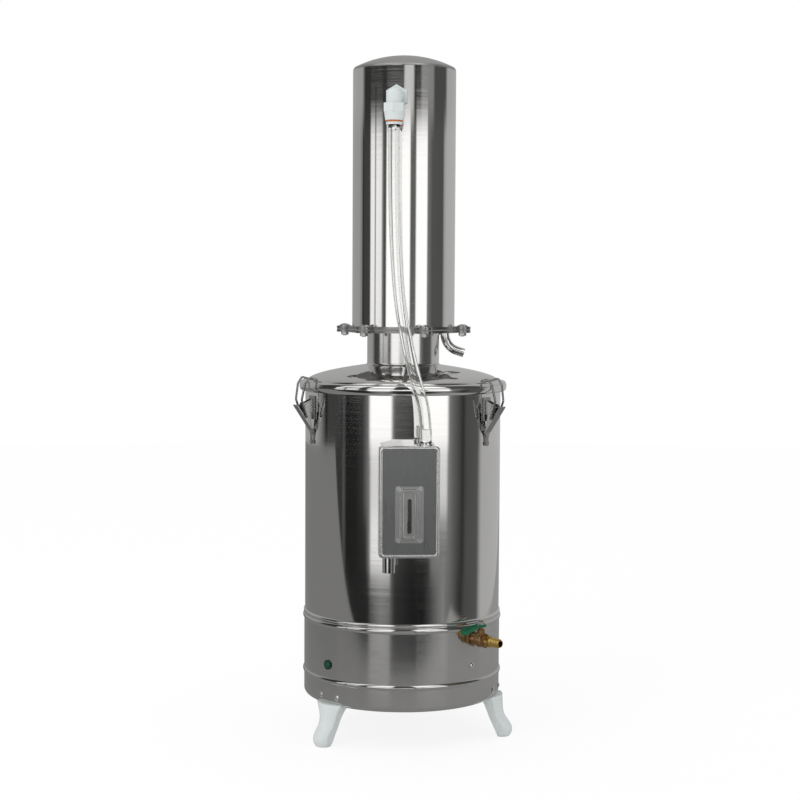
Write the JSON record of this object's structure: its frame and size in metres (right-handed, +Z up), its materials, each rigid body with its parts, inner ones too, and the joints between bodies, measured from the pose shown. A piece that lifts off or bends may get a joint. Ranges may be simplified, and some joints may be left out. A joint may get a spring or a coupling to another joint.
{
  "type": "electric water distiller",
  "caption": "Free-standing stainless steel electric water distiller: footed drum base, mirror pot with clamped lid, column condenser, clear hose, level box and drain valve.",
  "frame": {"origin": "on the floor, on the pot's vertical axis, the middle of the box round the still", "axes": "+Z up along the pot and condenser; -Y to the front, where the level box is; +X to the right"},
  "size_m": [0.2702, 0.3341, 0.8326],
  "materials": {
    "polished_steel": "mirror polished",
    "brushed_steel": "satin brushed",
    "flange_steel": "fine brushed",
    "zinc_steel": "bright zinc",
    "white_silicone": "matte",
    "brass": "dull cast and turned",
    "white_plastic": "glossy moulded",
    "orange_plastic": "glossy moulded",
    "clear_hose": "clear",
    "dark_plastic": "matte moulded",
    "green_lens": "glossy",
    "sight_glass": "clear",
    "black_rubber": "matte",
    "green_grip": "glossy coat"
  },
  "bodies": {
    "still": {"condenser_shell": "polished_steel", "condenser_cap": "brushed_steel", "condenser_flange": "flange_steel", "flange_gasket": "white_silicone", "neck_flange": "flange_steel", "flange_bolts": "zinc_steel", "flange_nuts": "zinc_steel", "steam_riser": "brushed_steel", "steam_header": "brushed_steel", "condenser_tubes": "brushed_steel", "collector_ring": "brushed_steel", "distillate_outlet": "polished_steel", "water_inlet": "brass", "elbow_fitting": "white_plastic", "elbow_nut": "white_plastic", "elbow_clip_ring": "orange_plastic", "water_hose": "clear_hose", "lid_neck": "brushed_steel", "lid_dome": "polished_steel", "rim_gasket": "white_silicone", "pot_barrel": "polished_steel", "pot_floor": "brushed_steel", "heating_elements": "brushed_steel", "heater_nuts": "zinc_steel", "level_pipe": "brushed_steel", "drain_pipe": "brushed_steel", "base_drum": "brushed_steel", "base_bottom_plate": "brushed_steel", "foot_left": "white_plastic", "foot_right": "white_plastic", "foot_rear": "white_plastic", "foot_screws": "zinc_steel", "base_screw": "zinc_steel", "lamp_bezel": "dark_plastic", "lamp_lens": "green_lens", "cable_gland": "dark_plastic", "gland_nut": "dark_plastic", "terminal_block": "white_plastic", "level_box": "brushed_steel", "sight_frame": "flange_steel", "sight_glass": "sight_glass", "sight_gasket": "black_rubber", "sight_screws": "zinc_steel", "overflow_pipe": "polished_steel", "hose_nipple": "polished_steel", "valve_body": "brass", "hose_barb": "brass", "latch_bracket_1": "polished_steel", "latch_bracket_2": "polished_steel", "latch_bracket_3": "polished_steel"},
    "drain_key": {"valve_lever": "green_grip", "valve_stem": "brass", "valve_ball": "brass", "lever_nut": "zinc_steel"},
    "clamp_lever_1": {"latch_lever_1": "polished_steel"},
    "clamp_bail_1": {"latch_bail_1": "polished_steel"},
    "clamp_lever_2": {"latch_lever_2": "polished_steel"},
    "clamp_bail_2": {"latch_bail_2": "polished_steel"},
    "clamp_lever_3": {"latch_lever_3": "polished_steel"},
    "clamp_bail_3": {"latch_bail_3": "polished_steel"}
  },
  "joints": [
    {"name": "drain_turn", "type": "hinge", "parent": "still", "child": "drain_key", "pos_m": [0.08936, -0.10463, 0.1319], "axis": [0, 0, 1], "range_deg": [0, 90]},
    {"name": "clamp_1_turn", "type": "hinge", "parent": "still", "child": "clamp_lever_1", "pos_m": [-0.12123, -0.05146, 0.4073], "axis": [-0.3907, 0.9205, 0], "range_deg": [0, 115]},
    {"name": "bail_1_turn", "type": "hinge", "parent": "clamp_lever_1", "child": "clamp_bail_1", "pos_m": [-0.12169, -0.05165, 0.3943], "axis": [-0.3907, 0.9205, 0], "range_deg": [-172.5, 0]},
    {"name": "clamp_2_turn", "type": "hinge", "parent": "still", "child": "clamp_lever_2", "pos_m": [0.10518, -0.07926, 0.4073], "axis": [-0.6018, -0.7986, 0], "range_deg": [0, 115]},
    {"name": "bail_2_turn", "type": "hinge", "parent": "clamp_lever_2", "child": "clamp_bail_2", "pos_m": [0.10558, -0.07956, 0.3943], "axis": [-0.6018, -0.7986, 0], "range_deg": [-172.5, 0]},
    {"name": "clamp_3_turn", "type": "hinge", "parent": "still", "child": "clamp_lever_3", "pos_m": [0.01605, 0.13072, 0.4073], "axis": [0.9925, -0.1219, 0], "range_deg": [0, 115]},
    {"name": "bail_3_turn", "type": "hinge", "parent": "clamp_lever_3", "child": "clamp_bail_3", "pos_m": [0.01611, 0.13121, 0.3943], "axis": [0.9925, -0.1219, 0], "range_deg": [-172.5, 0]}
  ],
  "couplings": [
    {"joint": "bail_1_turn", "follows": "clamp_1_turn", "ratio": -1.5},
    {"joint": "bail_2_turn", "follows": "clamp_2_turn", "ratio": -1.5},
    {"joint": "bail_3_turn", "follows": "clamp_3_turn", "ratio": -1.5}
  ]
}
